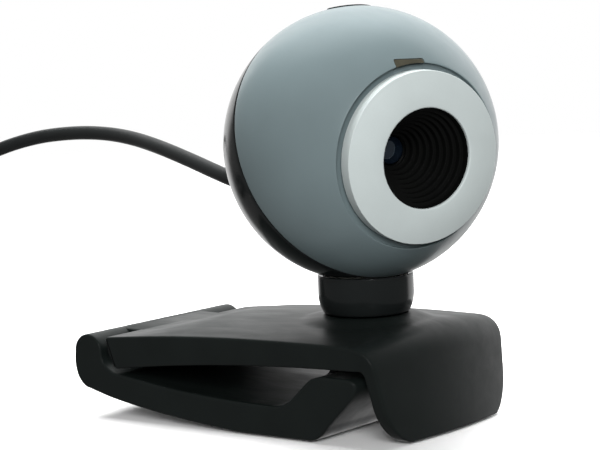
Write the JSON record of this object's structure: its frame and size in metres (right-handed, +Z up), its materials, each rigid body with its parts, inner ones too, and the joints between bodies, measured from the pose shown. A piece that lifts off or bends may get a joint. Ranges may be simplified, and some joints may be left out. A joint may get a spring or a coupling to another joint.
{
  "type": "webcam",
  "caption": "Ball webcam with a turning focus ring, tilting and swivelling on the neck of a hinged monitor clip that also stands flat, with a coiled cable and plug.",
  "frame": {"origin": "on the surface the clip stands on, straight below the neck's axis, on the flat foot of the leg", "axes": "+Z up along the neck's axis, -Y towards the clip's front lip, +X to the right seen from the front lip's back; the head rests turned 22.9 degrees towards -X"},
  "size_m": [0.0934, 0.2555, 0.0911],
  "materials": {
    "grey_gloss": "moulded blue-grey plastic with a soft gloss",
    "black_gloss": "black moulded plastic, polished",
    "black_satin": "black moulded plastic, satin",
    "black_matt": "black moulded plastic, matt",
    "pale_silver": "pale silver-grey painted plastic",
    "smoked_window": "smoked clear plastic",
    "lens_glass": "coated optical glass",
    "steel": "plated steel",
    "board_green": "green solder mask",
    "chip_black": "moulded black resin",
    "pad_rubber": "soft black rubber",
    "cable_jacket": "black cable jacket, satin",
    "tie_fabric": "woven hook-and-loop strap",
    "white_plastic": "natural white plastic",
    "led_green": "tinted clear resin"
  },
  "bodies": {
    "root": {"clip_cover": "black_satin", "under_plate": "black_matt", "under_plate_screw_1": "steel", "under_plate_screw_2": "steel", "under_plate_screw_3": "steel", "under_plate_screw_4": "steel", "lip_pad": "pad_rubber", "hinge_pin": "steel", "cord": "cable_jacket", "cord_coil": "cable_jacket", "cord_tail": "cable_jacket", "cord_tie": "tie_fabric", "plug_grip": "pad_rubber", "plug_shell": "steel", "plug_tongue": "white_plastic"},
    "leg": {"clip_leg": "black_satin", "jaw_pad": "pad_rubber", "hinge_washer_left": "steel", "hinge_washer_right": "steel"},
    "neck": {"neck": "black_gloss", "neck_liner": "white_plastic", "swivel_washer": "steel", "swivel_clip": "steel", "clamp_screw": "steel", "clamp_spring": "steel", "saddle": "black_matt", "clamp_nut": "steel"},
    "head": {"front_shell": "grey_gloss", "rear_shell": "black_gloss", "shell_screw_left": "steel", "shell_screw_right": "steel", "led_window": "smoked_window", "cord_relief": "pad_rubber", "lens_holder": "black_matt", "ir_filter": "lens_glass", "circuit_board": "board_green", "board_screw_1": "steel", "board_screw_2": "steel", "image_sensor": "chip_black", "controller_chip": "chip_black", "crystal": "steel", "capacitor": "chip_black", "cable_connector": "white_plastic", "status_led": "led_green", "button_switch": "chip_black"},
    "focus_ring": {"focus_ring": "pale_silver", "lens_baffle": "black_matt", "ring_retainer": "steel"},
    "lens": {"lens_barrel": "black_matt", "front_lens": "lens_glass", "rear_lens": "lens_glass"},
    "button": {"snapshot_button": "black_gloss"}
  },
  "joints": [
    {"name": "leg_hinge", "type": "hinge", "parent": "root", "child": "leg", "pos_m": [0, 0.0612, 0.0145], "axis": [1, 0, 0], "range_deg": [0, 100]},
    {"name": "swivel", "type": "hinge", "parent": "root", "child": "neck", "pos_m": [0, 0, 0.0241], "axis": [0, 0, 1], "range_deg": [-67.1, 112.9]},
    {"name": "tilt", "type": "hinge", "parent": "neck", "child": "head", "pos_m": [0, 0, 0.061], "axis": [0.9212, -0.3891, 0], "range_deg": [-20, 10], "deforming": ["cord"]},
    {"name": "focus_turn", "type": "hinge", "parent": "head", "child": "focus_ring", "pos_m": [0, 0, 0.061], "axis": [-0.3878, -0.9181, -0.0819], "range_deg": [-135, 135]},
    {"name": "lens_travel", "type": "slide", "parent": "focus_ring", "child": "lens", "axis": [-0.3878, -0.9181, -0.0819], "range_m": [-0.0002, 0.0002]},
    {"name": "button_press", "type": "slide", "parent": "head", "child": "button", "axis": [0.0319, 0.0755, -0.9966], "range_m": [0, 0.0006], "stiffness_N_per_m": 900, "springref_m": -0.0004}
  ],
  "couplings": [
    {"joint": "lens_travel", "follows": "focus_turn", "m_per_rad": 0.000079577}
  ]
}
